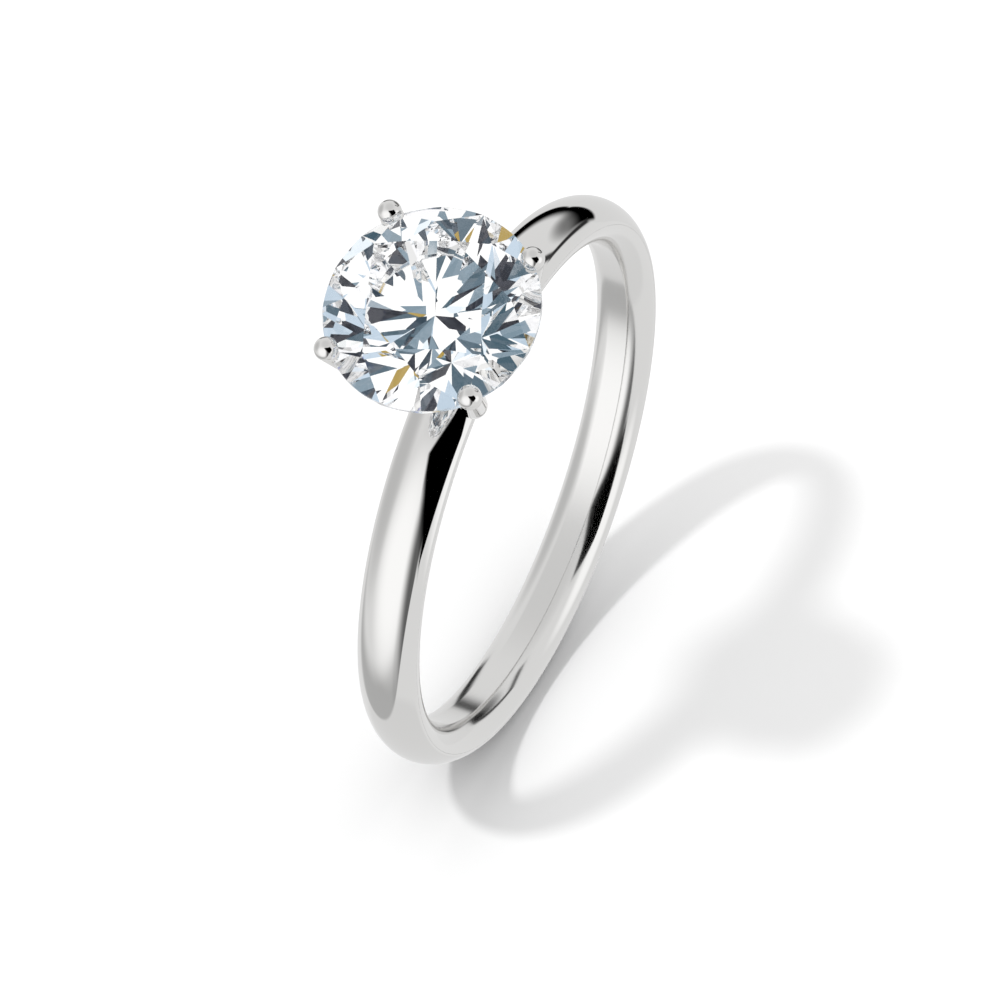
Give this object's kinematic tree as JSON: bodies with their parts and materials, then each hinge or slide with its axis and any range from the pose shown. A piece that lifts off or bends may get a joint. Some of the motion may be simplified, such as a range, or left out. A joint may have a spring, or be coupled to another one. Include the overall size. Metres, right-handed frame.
{
  "type": "engagement ring",
  "caption": "Slim polished solitaire ring: a domed band carries a round brilliant stone in an open claw head with ball tips.",
  "frame": {"origin": "centre of the finger bore, in the middle of the band's width", "axes": "+Y along the finger, +Z from the finger to the stone, +X along the band where it passes under the stone"},
  "size_m": [0.02, 0.007, 0.0253],
  "materials": {
    "white_gold": "mirror polish",
    "diamond": "polished facets"
  },
  "bodies": {
    "root": {"shank": "white_gold", "head_peg": "white_gold", "base_collar": "white_gold", "gallery_rail": "white_gold", "claw_1": "white_gold", "claw_2": "white_gold", "claw_3": "white_gold", "claw_4": "white_gold", "diamond": "diamond"}
  },
  "joints": []
}
